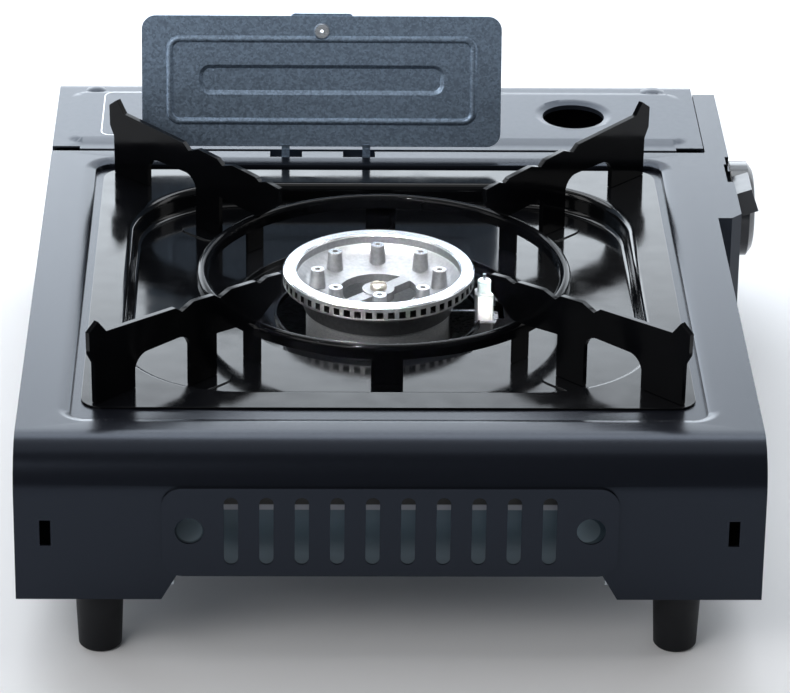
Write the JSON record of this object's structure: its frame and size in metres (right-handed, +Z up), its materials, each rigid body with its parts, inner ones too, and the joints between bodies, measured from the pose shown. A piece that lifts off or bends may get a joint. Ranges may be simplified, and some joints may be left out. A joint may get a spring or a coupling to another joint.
{
  "type": "butane cassette stove",
  "caption": "Portable butane stove: dark sheet-steel body with a hinged canister lid, lift-out heat shield, drip tray, stepped pan support, ported burner, knob and lock lever.",
  "frame": {"origin": "on the table, in the middle of the stove's overall outline", "axes": "+X to the right, towards the knob; +Y back, towards the canister lid; +Z up"},
  "size_m": [0.281, 0.3414, 0.1386],
  "materials": {
    "body_enamel": "semi-gloss black stove paint with a fine texture",
    "lid_paint": "semi-gloss dark metallic paint",
    "tray_enamel": "glossy black enamel",
    "support_enamel": "glossy black enamel",
    "galvanised": "galvanized sheet",
    "shield_steel": "bright galvanized sheet",
    "steel": "zinc plated",
    "cast_aluminium": "die-cast, satin",
    "brass": "machined",
    "ceramic": "glazed white ceramic",
    "lead_sleeve": "woven glass sleeve",
    "black_plastic": "moulded, matt",
    "white_plastic": "moulded, natural",
    "knob_plastic": "moulded, glossy black",
    "rubber": "matt black rubber"
  },
  "bodies": {
    "stove": {"body_shell": "body_enamel", "base_plate": "galvanised", "bay_partition": "galvanised", "canister_trough": "body_enamel", "canister_saddles": "galvanised", "louvre_plate": "galvanised", "lid_hinge_pins": "steel", "shield_sockets": "galvanised", "burner_head": "cast_aluminium", "burner_bowl": "cast_aluminium", "burner_screw": "brass", "burner_stand": "galvanised", "mixing_tube": "cast_aluminium", "gas_jet": "brass", "gas_pipe": "brass", "igniter_ceramic": "ceramic", "igniter_needle": "steel", "igniter_bracket": "steel", "igniter_lead": "lead_sleeve", "piezo_unit": "black_plastic", "control_panel": "body_enamel", "regulator": "cast_aluminium", "regulator_seal": "rubber", "lever_guide": "black_plastic", "foot_front_left": "rubber", "foot_front_right": "rubber", "foot_rear_left": "rubber", "foot_rear_right": "rubber", "foot_screws": "steel", "base_screws": "steel", "panel_screws": "steel"},
    "lid": {"canister_lid": "lid_paint"},
    "shield": {"heat_shield": "shield_steel", "shield_clip": "shield_steel", "shield_rivet": "shield_steel"},
    "tray": {"drip_tray": "tray_enamel"},
    "support": {"support_ring": "support_enamel", "support_arm_rear_right": "support_enamel", "support_arm_rear_left": "support_enamel", "support_arm_front_left": "support_enamel", "support_arm_front_right": "support_enamel"},
    "control": {"knob": "knob_plastic", "knob_shaft": "steel", "knob_cam": "white_plastic"},
    "plunger": {"piezo_plunger": "white_plastic"},
    "lever": {"lock_lever": "galvanised", "lever_tab": "knob_plastic"},
    "carriage": {"canister_carriage": "galvanised"}
  },
  "joints": [
    {"name": "lid_hinge", "type": "hinge", "parent": "stove", "child": "lid", "pos_m": [-0.0105, 0.1683, 0.0681], "axis": [-1, 0, 0], "range_deg": [0, 100]},
    {"name": "shield_lift", "type": "slide", "parent": "stove", "child": "shield", "axis": [0, 0, 1], "range_m": [0, 0.05]},
    {"name": "tray_lift", "type": "slide", "parent": "stove", "child": "tray", "axis": [0, 0, 1], "range_m": [0, 0.045]},
    {"name": "support_lift", "type": "slide", "parent": "tray", "child": "support", "axis": [0, 0, 1], "range_m": [0, 0.05]},
    {"name": "knob_turn", "type": "hinge", "parent": "stove", "child": "control", "pos_m": [-0.0105, 0.1057, 0.054], "axis": [1, 0, 0], "range_deg": [0, 100]},
    {"name": "plunger_push", "type": "slide", "parent": "stove", "child": "plunger", "axis": [0, 1, 0], "range_m": [0, 0.005]},
    {"name": "lever_down", "type": "slide", "parent": "stove", "child": "lever", "axis": [0, 0, -1], "range_m": [0, 0.012]},
    {"name": "carriage_in", "type": "slide", "parent": "stove", "child": "carriage", "axis": [1, 0, 0], "range_m": [0, 0.006]}
  ],
  "couplings": [
    {"joint": "plunger_push", "follows": "knob_turn", "m_per_rad": 0.00286},
    {"joint": "carriage_in", "follows": "lever_down", "ratio": 0.5}
  ]
}
